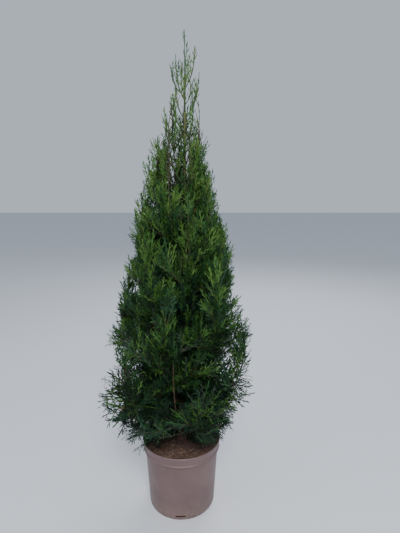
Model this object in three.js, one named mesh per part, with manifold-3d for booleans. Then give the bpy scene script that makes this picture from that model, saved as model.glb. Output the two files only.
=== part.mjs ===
// A young conical thuja in a round plastic nursery pot.
// Millimetres, +Z up. The origin is the centre of the pot's flat underside, and -Y is the front.
// The pot is filled with compost. One trunk runs up through the crown, boughs leave it in a spiral and
// turn upwards, and each carries one plume of flat fan sprays. The leading shoot is open and thin.
import * as THREE from "three";
import { mergeVertices } from "three/addons/utils/BufferGeometryUtils.js";
import Module from "manifold-3d";

const wasm = await Module();
wasm.setup();

// Pot
const POT_HEIGHT = 181;
const RIM_RADIUS = 100.5;
const FOOT_RADIUS = 85;
const COLLAR_DEPTH = 27;
const COLLAR_STEP = 3.2;
const COLLAR_FLARE = 3.3;
const POT_WALL = 2;
const FLOOR_LIFT = 5;
const CENTRE_PAD_RADIUS = 58;
const DRAIN_SLOTS = 4;
const DRAIN_SLOT_DEPTH = 16;
const DRAIN_SLOT_WIDTH = 26;
const DRAIN_SLOT_SILL = 7.4;
const DRAIN_SLOT_HEIGHT = 5.5;
const POT_SEGMENTS = 28;

// Compost
const SOIL_DROP = 10;
const SEAT_GAP = 0.3;

// Plant
const PLANT_TOP = 1156;
const TRUNK_TOP = 1062;
const TRUNK_LEAN = 14;
const TRUNK_RADIUS = 9;
const TRUNK_TIP_RADIUS = 1.6;
const ROOT_FLARE = 7;
const ROOT_FLARE_HEIGHT = 22;

// Crown, a cone whose foot is tucked in over the pot's rim, fuller at its low left, with a slight waist
// above that skirt, and whose top opens into thin shoots
const CROWN_FOOT = 172;
const CROWN_SLOPE_RADIUS = 240;
const FOOT_TUCK = 0.46;
const FOOT_TUCK_HEIGHT = 220;
const FRONT_LIFT = 128;
const FRONT_LIFT_RADIUS = 160;
const LOW_LEFT_SWELL = 0.13;
const LOW_RIGHT_TUCK = 0.24;
const LOW_SIDE_HEIGHT = 260;
const WAIST = 0.11;
const WAIST_HEIGHT = 400;
const WAIST_SPAN = 24;
const TOP_SPREAD = 36;
const TOP_ROUNDING = 45;

// Plumes of foliage, set on the trunk in one rising spiral. The lower ones stand on boughs.
const PLUMES = 28;
const BOUGHS = 15;
const LOWEST_START = 190;
const HIGHEST_START = 830;
const START_CROWDING = 1.15;
const FIRST_AZIMUTH = 20;
const GOLDEN_ANGLE = 137.508;
const LOW_RISE = 90;
const HIGH_RISE = 225;
const FULL_RISE_SHARE = 0.3;
const BOUGH_SHARE = 0.25;
const LOW_BOUGH_RADIUS = 4;
const HIGH_BOUGH_RADIUS = 2.6;
const BOUGH_TAPER = 0.62;

// Inner plumes that rise close to the trunk and close the crown round it
const INNERS = 9;
const INNER_CROWDING = 1.6;
const LOWEST_INNER = 195;
const HIGHEST_INNER = 725;
const INNER_AZIMUTH = 199;
const SKIRT_INNERS = 3;
const SKIRT_RISE = 60;
const SKIRT_REACH = 0.85;
const INNER_RISE = 200;
const INNER_REACH = 0.48;

// Open shoots that leave the trunk above the last plume
const SHOOTS = 4;
const LOWEST_SHOOT = 885;
const HIGHEST_SHOOT = 1010;
const SHOOT_RISE = 100;

// Foliage
const TWIGS = 5;
const THICK_TWIGS = 2;
const STEM_SPRAYS = 3;
const HIGH_TWIGS = 3;
const HIGH_STEM_SPRAYS = 2;
const HIGH_PLUME = 21;
const LOW_SPRAY = 112;
const HIGH_SPRAY = 78;
const INNER_SPRAY_SHARE = 0.8;
const SHOOT_SPRAY = 46;
const LEADER_SPRAY = 28;
const SHOOT_TWIGS = 4;
const SPRAY_FITS = [1, 0.82, 0.68, 0.6];
const SPRAY_TURNS = 14;
const SPRAY_WIDTH = 0.64;
const SHOOT_SPRAY_WIDTH = 0.4;
const SPRAY_THICKNESS = 3.4;
const SPRAY_ROOT = 0.42;
const STEM_RADIUS = 2.2;
const SHOOT_STEM_RADIUS = 1.6;
const STEM_TIP_RADIUS = 0.8;
const STEM_START = 0;
const HEART_SHARE = 0.46;
const HEART_RADIUS = 33;
const SPACE_GAP = 0.8;
const LIMB_GAP = 0.6;

const UP = new THREE.Vector3(0, 0, 1);
const SOIL_TOP = POT_HEIGHT - SOIL_DROP;

// The seeded rule: a number from 0 to 1 for limb i and draw k, the same every time.
function chance(i, k) {
  const wave = Math.sin(i * 12.9898 + k * 78.233 + 4.1) * 43758.5453;
  return wave - Math.floor(wave);
}

function mix(a, b, share) {
  return a + (b - a) * share;
}

// Solids

function solidOf(geometry) {
  const bare = geometry.clone();
  bare.deleteAttribute("normal");
  bare.deleteAttribute("uv");
  const merged = mergeVertices(bare, 1e-4);
  return new wasm.Manifold(
    new wasm.Mesh({
      numProp: 3,
      vertProperties: new Float32Array(merged.attributes.position.array),
      triVerts: new Uint32Array(merged.index.array),
    }),
  );
}

function geometryOf(solid) {
  const { vertProperties, triVerts } = solid.getMesh();
  const geometry = new THREE.BufferGeometry();
  geometry.setAttribute("position", new THREE.BufferAttribute(vertProperties, 3));
  geometry.setIndex(new THREE.BufferAttribute(triVerts, 1));
  geometry.computeVertexNormals();
  return geometry;
}

// Loose scraps and sealed hollows are separate skins, so the largest skin alone is the filled piece.
function largestBody(solid) {
  const bodies = solid.decompose();
  bodies.sort((a, b) => b.volume() - a.volume());
  return bodies[0];
}

// Trunk and limbs

function trunkAxis(z) {
  const share = THREE.MathUtils.clamp((z - SOIL_TOP) / (PLANT_TOP - SOIL_TOP), 0, 1);
  return new THREE.Vector3(
    TRUNK_LEAN * Math.sin((share * Math.PI) / 2),
    -0.4 * TRUNK_LEAN * Math.sin(share * Math.PI * 1.5),
    z,
  );
}

function trunkRadius(z) {
  const share = THREE.MathUtils.clamp((z - SOIL_TOP) / (TRUNK_TOP - SOIL_TOP), 0, 1);
  const taper = mix(TRUNK_RADIUS, TRUNK_TIP_RADIUS, share ** 0.85);
  return taper + ROOT_FLARE * Math.exp(-Math.max(z - SOIL_TOP, 0) / ROOT_FLARE_HEIGHT);
}

// A round bar of horizontal rings, so both ends are flat and level.
function trunkSolid(extra) {
  const low = SOIL_TOP + SEAT_GAP;
  const geometry = new THREE.CylinderGeometry(1, 1, 1, 10, 13);
  const at = geometry.attributes.position;
  for (let i = 0; i < at.count; i++) {
    const share = at.getY(i) + 0.5;
    const z = low + (TRUNK_TOP - low) * share ** 1.6;
    const centre = trunkAxis(z);
    const radius = trunkRadius(z) + extra;
    at.setXYZ(i, centre.x + at.getZ(i) * radius, centre.y + at.getX(i) * radius, z);
  }
  return solidOf(geometry);
}

// A tapering bar along a curve from share t0 to share t1: a cylinder whose rings are set square to the curve.
function limb(curve, t0, t1, radiusAt, sides, steps) {
  const geometry = new THREE.CylinderGeometry(1, 1, 1, sides, steps);
  const at = geometry.attributes.position;
  const side = new THREE.Vector3();
  const normal = new THREE.Vector3();
  const point = new THREE.Vector3();
  for (let i = 0; i < at.count; i++) {
    const share = at.getY(i) + 0.5;
    const t = mix(t0, t1, share);
    const along = curve.getTangent(t);
    side.crossVectors(along, curve.plane).normalize();
    normal.crossVectors(side, along).normalize();
    const radius = radiusAt(share);
    point.copy(curve.getPoint(t));
    point.addScaledVector(normal, -at.getX(i) * radius);
    point.addScaledVector(side, at.getZ(i) * radius);
    at.setXYZ(i, point.x, point.y, point.z);
  }
  return solidOf(geometry);
}

function straight(from, to, plane) {
  const line = new THREE.LineCurve3(from, to);
  line.plane = plane;
  return line;
}

// Crown outline

// The crown stays upright over the pot while the trunk leans, and meets it near the top.
function crownAxis(z) {
  return trunkAxis(z).multiply(new THREE.Vector3(THREE.MathUtils.smoothstep(z, 880, 1050), 1, 1));
}

function crownRadius(z, azimuth) {
  const share = THREE.MathUtils.clamp((z - CROWN_FOOT) / (PLANT_TOP - CROWN_FOOT), 0, 1);
  const rise = THREE.MathUtils.clamp((z - CROWN_FOOT) / FOOT_TUCK_HEIGHT, 0, 1);
  const tuck = mix(FOOT_TUCK, 1, Math.sin((rise * Math.PI) / 2));
  const low = 1 - THREE.MathUtils.clamp((z - CROWN_FOOT) / LOW_SIDE_HEIGHT, 0, 1);
  const aside = Math.cos(azimuth) * (Math.cos(azimuth) < 0 ? LOW_LEFT_SWELL : LOW_RIGHT_TUCK);
  const waist = WAIST * Math.exp(-(((z - WAIST_HEIGHT) / WAIST_SPAN) ** 2));
  const swell = 1 - aside * low - waist;
  const open = TOP_SPREAD * Math.sqrt(THREE.MathUtils.clamp((PLANT_TOP - z) / TOP_ROUNDING, 0, 1));
  return Math.max(CROWN_SLOPE_RADIUS * (1 - share) * tuck * swell, open);
}

// Each limb's whole way, from the trunk's axis to the tip of its plume. It bends in an upright plane.
function limbWay(start, azimuth, reach, tipHeight, bow) {
  const out = new THREE.Vector3(Math.cos(azimuth), Math.sin(azimuth), 0);
  const bend = mix(start, tipHeight, bow);
  const bendRadius = reach * crownRadius(mix(bend, tipHeight, 0.35), azimuth);
  const tip = crownAxis(tipHeight).addScaledVector(out, reach * crownRadius(tipHeight, azimuth));
  const shoulder = crownAxis(bend).addScaledVector(out, bendRadius);
  const way = new THREE.QuadraticBezierCurve3(trunkAxis(start), shoulder, tip);
  way.plane = new THREE.Vector3(-out.y, out.x, 0);
  way.out = out;
  way.samples = way.getPoints(16);
  return way;
}

function plumeWay(i) {
  const share = i / (PLUMES - 1);
  const start = mix(LOWEST_START, HIGHEST_START, share ** START_CROWDING);
  const turn = FIRST_AZIMUTH + i * GOLDEN_ANGLE + mix(-9, 9, chance(i, 1));
  const rise = mix(LOW_RISE, HIGH_RISE, Math.min(1, share / FULL_RISE_SHARE));
  const tipHeight = start + Math.min(rise * mix(0.9, 1.1, chance(i, 2)), (PLANT_TOP - start) * 0.58);
  return limbWay(start, THREE.MathUtils.degToRad(turn), mix(0.86, 0.96, chance(i, 3)), tipHeight, 0.3);
}

function innerWay(i) {
  const start = mix(LOWEST_INNER, HIGHEST_INNER, (i / (INNERS - 1)) ** INNER_CROWDING);
  const turn = INNER_AZIMUTH + i * GOLDEN_ANGLE;
  const skirt = Math.max(0, 1 - i / SKIRT_INNERS);
  const reach = mix(INNER_REACH, SKIRT_REACH, skirt);
  const tipHeight = start + mix(INNER_RISE, SKIRT_RISE, skirt);
  return limbWay(start, THREE.MathUtils.degToRad(turn), reach, tipHeight, 0.3);
}

function shootWay(i) {
  const start = mix(LOWEST_SHOOT, HIGHEST_SHOOT, i / (SHOOTS - 1));
  const turn = FIRST_AZIMUTH + 60 + i * GOLDEN_ANGLE;
  const tipHeight = start + SHOOT_RISE * mix(0.9, 1.1, chance(i, 4));
  return limbWay(start, THREE.MathUtils.degToRad(turn), 0.9, tipHeight, 0.35);
}

function leaderWay() {
  const way = straight(trunkAxis(TRUNK_TOP + SEAT_GAP), trunkAxis(PLANT_TOP), new THREE.Vector3(0, 1, 0));
  way.out = new THREE.Vector3(1, 0, 0);
  way.samples = way.getPoints(6);
  return way;
}

// Foliage

// A spray is a flat fan on a tapering stalk: a thin double pyramid whose rim runs from the root through
// alternate teeth and notches. Each pair is the angle round the fan from its right-hand side and the distance
// from its middle, as a share of the spray's length.
const SPRAY_RIM = [
  [-90, SPRAY_ROOT],
  [-14, 0.56],
  [22, 0.32],
  [82, 0.6],
  [128, 0.34],
  [166, 0.54],
];

function spray(root, along, face, { length, width, stalk, hand }, extra) {
  const geometry = new THREE.SphereGeometry(1, SPRAY_RIM.length, 2);
  const at = geometry.attributes.position;
  const side = new THREE.Vector3().crossVectors(along, face).normalize();
  const normal = new THREE.Vector3().crossVectors(side, along).normalize();
  const centre = root.clone().addScaledVector(along, SPRAY_ROOT * length + stalk);
  const point = new THREE.Vector3();
  const reach = [centre];
  for (let i = 0; i < at.count; i++) {
    const pole = Math.round(at.getY(i));
    point.copy(centre);
    if (pole) {
      point.addScaledVector(normal, pole * (SPRAY_THICKNESS / 2 + extra));
    } else {
      const turn = Math.atan2(at.getZ(i), at.getX(i)) / (2 * Math.PI);
      const step = Math.round((turn + 1) * SPRAY_RIM.length) * hand + SPRAY_RIM.length * 2;
      const [angle, share] = SPRAY_RIM[step % SPRAY_RIM.length];
      const lean = THREE.MathUtils.degToRad(angle);
      const distance = share * length + (angle === -90 ? stalk : 0);
      point.addScaledVector(side, -Math.cos(lean) * (distance * width + extra) * hand);
      point.addScaledVector(along, Math.sin(lean) * (distance + extra));
      reach.push(point.clone());
    }
    at.setXYZ(i, point.x, point.y, point.z);
  }
  return { solid: solidOf(geometry), reach };
}

function nearest(point, samples) {
  return Math.min(...samples.map((sample) => sample.distanceTo(point)));
}

// The lowest sprays hang over the pot's rim, but at the front they lift and leave the compost in view.
function foliageFloor(radius, azimuth) {
  const front = Math.max(0, -Math.sin(azimuth)) ** 4;
  const lift = FRONT_LIFT * front * THREE.MathUtils.clamp(radius / FRONT_LIFT_RADIUS, 0, 1);
  return (radius > RIM_RADIUS + 4.5 ? POT_HEIGHT - 19 : POT_HEIGHT + 6) + lift;
}

// A piece keeps to its own plume's space: nearer to its own limb than to any other, inside the crown's
// outline, and off the pot and the compost.
function keepsToSpace(points, own) {
  return points.every((point) => {
    const mine = nearest(point, own.samples);
    const axis = crownAxis(point.z);
    const radius = Math.hypot(point.x - axis.x, point.y - axis.y);
    const azimuth = Math.atan2(point.y - axis.y, point.x - axis.x);
    return (
      point.z > foliageFloor(radius, azimuth) &&
      point.z < PLANT_TOP &&
      radius < crownRadius(point.z, azimuth) + mix(2, 12, point.z / PLANT_TOP) &&
      ways.every((way) => way === own || nearest(point, way.samples) > mine + SPACE_GAP)
    );
  });
}

// The dense heart of a plume, a spindle that stays well inside the plume's space and clear of the limbs.
function heartSolid(way, t0, t1, extra) {
  const room = (t) => {
    const here = way.getPoint(t);
    return Math.min(...ways.map((other) => (other === way ? Infinity : nearest(here, other.samples))));
  };
  const radiusAt = (share) => {
    const swell = Math.sin(Math.PI * mix(0.06, 0.97, share) ** 0.9);
    const most = Math.min(HEART_RADIUS * swell, HEART_SHARE * room(mix(t0, t1, share)));
    return Math.max(1.4, most) + extra;
  };
  return limb(way, t0, t1, radiusAt, 5, 3).subtract(limbs);
}

function stemSolid(way, { start, stemRadius }, extra) {
  const radiusAt = (share) => mix(stemRadius, STEM_TIP_RADIUS, share) + extra;
  return limb(way, start, 0.97, radiusAt, 3, 3);
}

// One plume: its stem, its heart and the sprays all round them. The first sprays stand on thicker twigs.
// Each spray is tried in several directions and then smaller, until it keeps to the plume's space and clear
// of all other pieces, or it is skipped.
function plumeSolid(key, way, { start, size, width, twigs, stemSprays }) {
  const parts = [way.middle];
  const taken = [limbs, ...ways.filter((other) => other !== way).map((other) => other.taken)];

  const directionAt = (t, draw, k) => {
    const stemAlong = way.getTangent(t);
    const outward = new THREE.Vector3().crossVectors(way.plane, stemAlong).normalize();
    const turn = THREE.MathUtils.degToRad(draw * GOLDEN_ANGLE + 360 * chance(key + 7 * k, draw));
    return way.plane
      .clone()
      .multiplyScalar(Math.cos(turn))
      .addScaledVector(outward, Math.sin(turn))
      .addScaledVector(stemAlong, mix(0.75, 1.3, chance(key, draw + 40)))
      .normalize();
  };

  const addSpray = (t, stalk, length, draw, thickTwig) => {
    const root = way.getPoint(t);
    for (const fit of SPRAY_FITS) {
      for (let k = 0; k < SPRAY_TURNS; k++) {
        const along = directionAt(t, draw, k);
        const upright = new THREE.Vector3().crossVectors(along, UP).normalize();
        const face = upright.clone().addScaledVector(way.out, mix(-0.8, 0.8, chance(key, draw + 80)));
        const shape = { length: length * fit, width, stalk: stalk * fit, hand: draw % 2 ? 1 : -1 };
        const grown = spray(root, along, face, shape, SPACE_GAP);
        const clear = () => taken.every((other) => grown.solid.intersect(other).isEmpty());
        if (keepsToSpace(grown.reach, way) && clear()) {
          parts.push(spray(root, along, face, shape, 0).solid);
          if (thickTwig) {
            const end = root.clone().addScaledVector(along, (stalk + 0.3 * length) * fit);
            parts.push(limb(straight(root, end, upright), 0, 1, (share) => mix(1.6, 1, share), 3, 1));
          }
          return;
        }
      }
    }
  };

  addSpray(0.82, 0, size * 0.8, 30, false);
  for (let n = 0; n < twigs; n++) {
    const share = ((n + 0.5) / twigs + 0.37 * (n % 2)) % 1;
    const stalk = size * mix(0.4, 0.2, share);
    addSpray(mix(start + 0.04, 0.88, share), stalk, size * mix(1, 0.75, share), 10 + n, n < THICK_TWIGS);
  }
  for (let n = 0; n < stemSprays; n++) {
    const share = (n + 0.5) / stemSprays;
    addSpray(mix(start + 0.02, 0.85, share), 0, size, 40 + n, false);
  }
  return largestBody(wasm.Manifold.union(parts).subtract(trunkRoom));
}

// Pot and compost

function lathe(profile, segments) {
  const geometry = new THREE.LatheGeometry(
    profile.map(([radius, height]) => new THREE.Vector2(radius, height)),
    segments,
  );
  geometry.rotateX(Math.PI / 2);
  return solidOf(geometry);
}

const COLLAR_FOOT = POT_HEIGHT - COLLAR_DEPTH;
const WALL_TOP_RADIUS = RIM_RADIUS - COLLAR_FLARE - COLLAR_STEP;

function potSolid() {
  const inner = FOOT_RADIUS - POT_WALL;
  const shell = lathe(
    [
      [0, 0],
      [CENTRE_PAD_RADIUS, 0],
      [CENTRE_PAD_RADIUS + 4, FLOOR_LIFT],
      [inner - 3, FLOOR_LIFT],
      [inner - 2, 0],
      [FOOT_RADIUS - 2.5, 0],
      [FOOT_RADIUS, 3],
      [WALL_TOP_RADIUS, COLLAR_FOOT],
      [WALL_TOP_RADIUS + COLLAR_STEP, COLLAR_FOOT + 1.2],
      [RIM_RADIUS, POT_HEIGHT - 1.5],
      [RIM_RADIUS - 0.8, POT_HEIGHT],
      [RIM_RADIUS - POT_WALL, POT_HEIGHT - 0.6],
      [WALL_TOP_RADIUS + COLLAR_STEP - POT_WALL, COLLAR_FOOT + 3],
      [WALL_TOP_RADIUS - POT_WALL, COLLAR_FOOT],
      [inner, FLOOR_LIFT + POT_WALL],
      [CENTRE_PAD_RADIUS + 3, FLOOR_LIFT + POT_WALL],
      [CENTRE_PAD_RADIUS - 1, POT_WALL],
      [0, POT_WALL],
    ],
    POT_SEGMENTS,
  );
  const slots = [];
  for (let n = 0; n < DRAIN_SLOTS; n++) {
    const turn = -Math.PI / 2 + (n * 2 * Math.PI) / DRAIN_SLOTS;
    const slot = new THREE.BoxGeometry(DRAIN_SLOT_DEPTH, DRAIN_SLOT_WIDTH, DRAIN_SLOT_HEIGHT);
    slot.translate(FOOT_RADIUS, 0, DRAIN_SLOT_SILL + DRAIN_SLOT_HEIGHT / 2);
    slot.rotateZ(turn);
    slots.push(solidOf(slot));
  }
  return shell.subtract(wasm.Manifold.union(slots));
}

function soilSolid() {
  const gap = POT_WALL + SEAT_GAP;
  return lathe(
    [
      [0, gap],
      [CENTRE_PAD_RADIUS - 1.2 - SEAT_GAP, gap],
      [CENTRE_PAD_RADIUS + 2.8 - SEAT_GAP, FLOOR_LIFT + gap],
      [FOOT_RADIUS - gap - 0.3, FLOOR_LIFT + gap],
      [WALL_TOP_RADIUS - gap - 0.3, COLLAR_FOOT - 2],
      [WALL_TOP_RADIUS - gap - 0.3, SOIL_TOP - 3],
      [WALL_TOP_RADIUS - 22, SOIL_TOP],
      [0, SOIL_TOP],
    ],
    POT_SEGMENTS,
  );
}

// Assembly

const thuja = new THREE.Group();
thuja.name = "potted_thuja";

function finish(color, roughness) {
  return new THREE.MeshStandardMaterial({ color, roughness, metalness: 0 });
}

const POT_PLASTIC = finish(0x8f7a74, 0.5);
const COMPOST = finish(0x3b2c25, 1);
const BARK = finish(0x5d4232, 0.9);
const FOLIAGE = finish(0x3c6a2c, 0.7);

function place(name, solid, material) {
  const mesh = new THREE.Mesh(geometryOf(solid), material);
  mesh.name = name;
  thuja.add(mesh);
}

function numbered(name, i) {
  return name + "_" + String(i + 1).padStart(2, "0");
}

place("pot", potSolid(), POT_PLASTIC);
place("soil", soilSolid(), COMPOST);
place("trunk", trunkSolid(0), BARK);

const plumeWays = Array.from({ length: PLUMES }, (_, i) => plumeWay(i));
const innerWays = Array.from({ length: INNERS }, (_, i) => innerWay(i));
const shootWays = Array.from({ length: SHOOTS }, (_, i) => shootWay(i));
const leader = leaderWay();
const ways = [...plumeWays, ...innerWays, ...shootWays, leader];

const trunkRoom = trunkSolid(SEAT_GAP + 0.05);
const boughRooms = [];
plumeWays.slice(0, BOUGHS).forEach((way, i) => {
  const radius = mix(LOW_BOUGH_RADIUS, HIGH_BOUGH_RADIUS, i / (BOUGHS - 1));
  way.endRadius = radius * BOUGH_TAPER;
  const radiusAt = (share) => mix(radius, way.endRadius, share);
  const bar = limb(way, 0, BOUGH_SHARE, radiusAt, 5, 4);
  place(numbered("bough", i), largestBody(bar.subtract(trunkRoom)), BARK);
  boughRooms.push(limb(way, 0, BOUGH_SHARE, (share) => radiusAt(share) + LIMB_GAP, 5, 4));
});
const limbs = wasm.Manifold.union([trunkSolid(LIMB_GAP), ...boughRooms]);

plumeWays.forEach((way, i) => {
  const onBough = i < BOUGHS;
  const high = i >= HIGH_PLUME;
  way.name = numbered("foliage", i);
  way.habit = {
    start: onBough ? BOUGH_SHARE + SEAT_GAP / way.getLength() : STEM_START,
    stemRadius: onBough ? way.endRadius : STEM_RADIUS,
    size: mix(LOW_SPRAY, HIGH_SPRAY, i / (PLUMES - 1)),
    width: SPRAY_WIDTH,
    twigs: high ? HIGH_TWIGS : TWIGS - (onBough ? 0 : 1),
    stemSprays: high ? HIGH_STEM_SPRAYS : STEM_SPRAYS,
    heart: true,
  };
});
innerWays.forEach((way, i) => {
  way.name = numbered("foliage", PLUMES + i);
  way.habit = {
    start: STEM_START,
    stemRadius: STEM_RADIUS,
    size: mix(LOW_SPRAY, HIGH_SPRAY, i / (INNERS - 1)) * INNER_SPRAY_SHARE,
    width: SPRAY_WIDTH,
    twigs: TWIGS - 1,
    stemSprays: STEM_SPRAYS - 1,
    heart: true,
  };
});
const OPEN_SHOOT = {
  start: STEM_START,
  stemRadius: SHOOT_STEM_RADIUS,
  size: SHOOT_SPRAY,
  width: SHOOT_SPRAY_WIDTH,
  twigs: SHOOT_TWIGS,
  stemSprays: 0,
  heart: false,
};
shootWays.forEach((way, i) => {
  way.name = numbered("shoot", i);
  way.habit = OPEN_SHOOT;
});
leader.name = "leader";
leader.habit = { ...OPEN_SHOOT, start: 0, size: LEADER_SPRAY };

for (const way of ways) {
  way.middle = stemSolid(way, way.habit, 0);
  way.taken = stemSolid(way, way.habit, SPACE_GAP);
}
for (const way of ways.filter((other) => other.habit.heart)) {
  const { start } = way.habit;
  const others = ways.filter((other) => other !== way).map((other) => other.taken);
  const heart = heartSolid(way, mix(start, 1, 0.1), 0.9, 0).subtract(wasm.Manifold.union(others));
  const heartRoom = heartSolid(way, mix(start, 1, 0.1), 0.9, SPACE_GAP);
  way.middle = way.middle.add(heart);
  way.taken = way.taken.add(heartRoom);
}
ways.forEach((way, key) => {
  way.taken = plumeSolid(key, way, way.habit);
  place(way.name, way.taken, FOLIAGE);
});

export default thuja;
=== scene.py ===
import math

import bmesh
import bpy
import numpy as np
from mathutils import Matrix, Vector, noise


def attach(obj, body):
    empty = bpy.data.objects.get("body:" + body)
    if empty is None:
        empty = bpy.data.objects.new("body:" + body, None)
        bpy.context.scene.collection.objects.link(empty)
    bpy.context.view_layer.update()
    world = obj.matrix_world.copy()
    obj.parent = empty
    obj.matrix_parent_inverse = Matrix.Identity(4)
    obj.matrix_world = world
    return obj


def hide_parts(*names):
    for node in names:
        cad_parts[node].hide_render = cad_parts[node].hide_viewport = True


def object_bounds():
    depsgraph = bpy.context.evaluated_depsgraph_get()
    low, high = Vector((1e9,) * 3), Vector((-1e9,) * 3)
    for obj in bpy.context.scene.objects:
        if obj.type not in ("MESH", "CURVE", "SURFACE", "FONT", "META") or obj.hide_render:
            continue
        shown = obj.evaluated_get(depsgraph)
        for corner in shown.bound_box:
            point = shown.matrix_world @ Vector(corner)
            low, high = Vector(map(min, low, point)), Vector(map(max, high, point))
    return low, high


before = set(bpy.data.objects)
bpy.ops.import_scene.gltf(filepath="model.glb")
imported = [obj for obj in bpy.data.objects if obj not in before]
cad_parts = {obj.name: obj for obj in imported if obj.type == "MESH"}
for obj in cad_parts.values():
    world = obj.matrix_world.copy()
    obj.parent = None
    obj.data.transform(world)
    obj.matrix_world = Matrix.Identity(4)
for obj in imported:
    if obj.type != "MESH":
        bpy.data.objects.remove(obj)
cad_low, cad_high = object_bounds()

# Nursery pot: a thin moulded container in satin taupe polypropylene, turned
# about its upright axis, with a stepped collar under a rounded lip and four
# drain slots through the wall at the floor. The soil and the plant stand in it.
POT_HEIGHT = 0.181
RIM_RADIUS = 0.1005
FOOT_RADIUS = 0.085
COLLAR_FOOT = 0.154
WALL_TOP_RADIUS = 0.094
POT_WALL = 0.002
FLOOR_LIFT = 0.005
CENTRE_PAD_RADIUS = 0.058
POT_SEGMENTS = 160
DRAIN_SLOTS = 4
DRAIN_SLOT_SIZE = (0.016, 0.026, 0.0055)
DRAIN_SLOT_SILL = 0.0074
TAUPE = (0.152, 0.093, 0.089, 1)
TAUPE_SHADE = (0.122, 0.075, 0.072, 1)
DRY_DUST = (0.235, 0.175, 0.135, 1)
SHARP_EDGE = math.radians(50)


def new_piece(name, data):
    """An object of the scene, from its mesh, lamp or camera."""
    piece = bpy.data.objects.new(name, data)
    bpy.context.scene.collection.objects.link(piece)
    return piece


def piece_from_shape(name, shape):
    """A piece from an edited mesh, which is freed."""
    mesh = bpy.data.meshes.new(name)
    shape.to_mesh(mesh)
    shape.free()
    return new_piece(name, mesh)


def round_points(radius, segments):
    """The x and y of points set evenly round the upright axis."""
    turns = [n * math.tau / segments for n in range(segments)]
    return [(radius * math.cos(turn), radius * math.sin(turn)) for turn in turns]


def turned_piece(name, profile, segments):
    """A closed body turned about the upright axis from (radius, height) points."""
    shape = bmesh.new()
    rings = []
    for radius, height in profile:
        around = round_points(radius, segments if radius > 0 else 1)
        rings.append([shape.verts.new((x, y, height)) for x, y in around])
    for low, high in zip(rings, rings[1:]):
        for n in range(segments):
            m = (n + 1) % segments
            if len(low) == 1:
                shape.faces.new((low[0], high[n], high[m]))
            elif len(high) == 1:
                shape.faces.new((low[n], high[0], low[m]))
            else:
                shape.faces.new((low[n], high[n], high[m], low[m]))
    bmesh.ops.recalc_face_normals(shape, faces=shape.faces)
    return piece_from_shape(name, shape)


def feed(tree, node, inputs):
    """Gives each named input of a node a plain value or another node's socket."""
    for label, given in inputs.items():
        if isinstance(given, bpy.types.NodeSocket):
            tree.links.new(given, node.inputs[label])
        else:
            node.inputs[label].default_value = given
    return node


def outcome(tree, kind, output, inputs):
    """One output socket of a new shader node, with its inputs fed."""
    return feed(tree, tree.nodes.new("ShaderNode" + kind), inputs).outputs[output]


def arithmetic(tree, operation, first, second):
    """The outcome of one step of arithmetic on values or sockets."""
    result = outcome(tree, "Math", "Value", {0: first, 1: second})
    result.node.operation = operation
    return result


def stretched(tree, mask, low, high):
    """The part of a mask socket from low to high, drawn out from 0 to 1."""
    return outcome(tree, "MapRange", "Result", {"Value": mask, "From Min": low, "From Max": high})


def ranged(tree, mask, low, high):
    """The mask socket carried to the range low to high."""
    return outcome(tree, "MapRange", "Result", {"Value": mask, "To Min": low, "To Max": high})


def effect_group(name, inputs, outputs):
    """An empty shader group with named sockets, and its two end nodes."""
    group = bpy.data.node_groups.new(name, "ShaderNodeTree")
    for label, value in inputs.items():
        socket = group.interface.new_socket(label, in_out="INPUT", socket_type="NodeSocketFloat")
        socket.default_value = value
    for label in outputs:
        group.interface.new_socket(label, in_out="OUTPUT", socket_type="NodeSocketFloat")
    return group, group.nodes.new("NodeGroupInput"), group.nodes.new("NodeGroupOutput")


def mottle_group():
    """Soft uneven patches: Patches for colour and roughness, Grain for a bump."""
    sizes = {"Patch Size": 9.0, "Grain Size": 600.0, "Stretch": 1.0}
    group, start, end = effect_group("mottle", sizes, ["Patches", "Grain"])
    given = start.outputs
    place = outcome(group, "TexCoord", "Object", {})
    stretch = outcome(group, "CombineXYZ", "Vector", {"X": 1, "Y": 1, "Z": given["Stretch"]})
    spot = outcome(group, "VectorMath", "Vector", {0: place, 1: stretch})
    spot.node.operation = "MULTIPLY"
    cloud = {"Vector": spot, "Scale": given["Patch Size"], "Detail": 5, "Roughness": 0.6}
    patches = stretched(group, outcome(group, "TexNoise", "Fac", cloud), 0.32, 0.68)
    grain = outcome(group, "TexNoise", "Fac", {"Vector": spot, "Scale": given["Grain Size"], "Detail": 3})
    feed(group, end, {"Patches": patches, "Grain": grain})
    return group


def dust_group():
    """Dust and splashed soil that thins out upwards from Level over Reach."""
    sizes = {"Level": 0.0, "Reach": 0.04, "Speckle Size": 140.0}
    group, start, end = effect_group("dust", sizes, ["Mask"])
    given = start.outputs
    place = outcome(group, "TexCoord", "Object", {})
    height = outcome(group, "SeparateXYZ", "Z", {"Vector": place})
    above = arithmetic(group, "SUBTRACT", height, given["Level"])
    rest = arithmetic(group, "SUBTRACT", 1, arithmetic(group, "DIVIDE", above, given["Reach"]))
    rest.node.use_clamp = True
    cloud = {"Vector": place, "Scale": given["Speckle Size"], "Detail": 6, "Roughness": 0.7}
    speckle = stretched(group, outcome(group, "TexNoise", "Fac", cloud), 0.42, 0.62)
    feed(group, end, {"Mask": arithmetic(group, "MULTIPLY", rest, speckle)})
    return group


MOTTLE = mottle_group()
DUST = dust_group()


def new_finish(name, roughness):
    """A material with its plain shader, and the means to add nodes to it."""
    material = bpy.data.materials.new(name)
    material.use_nodes = True
    shader = material.node_tree.nodes["Principled BSDF"]
    shader.inputs["Roughness"].default_value = roughness
    return material, material.node_tree, shader


def placed_effect(tree, group, values):
    """The outputs of an effect group, set into a material with its own values."""
    node = tree.nodes.new("ShaderNodeGroup")
    node.node_tree = group
    return feed(tree, node, values).outputs


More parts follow.
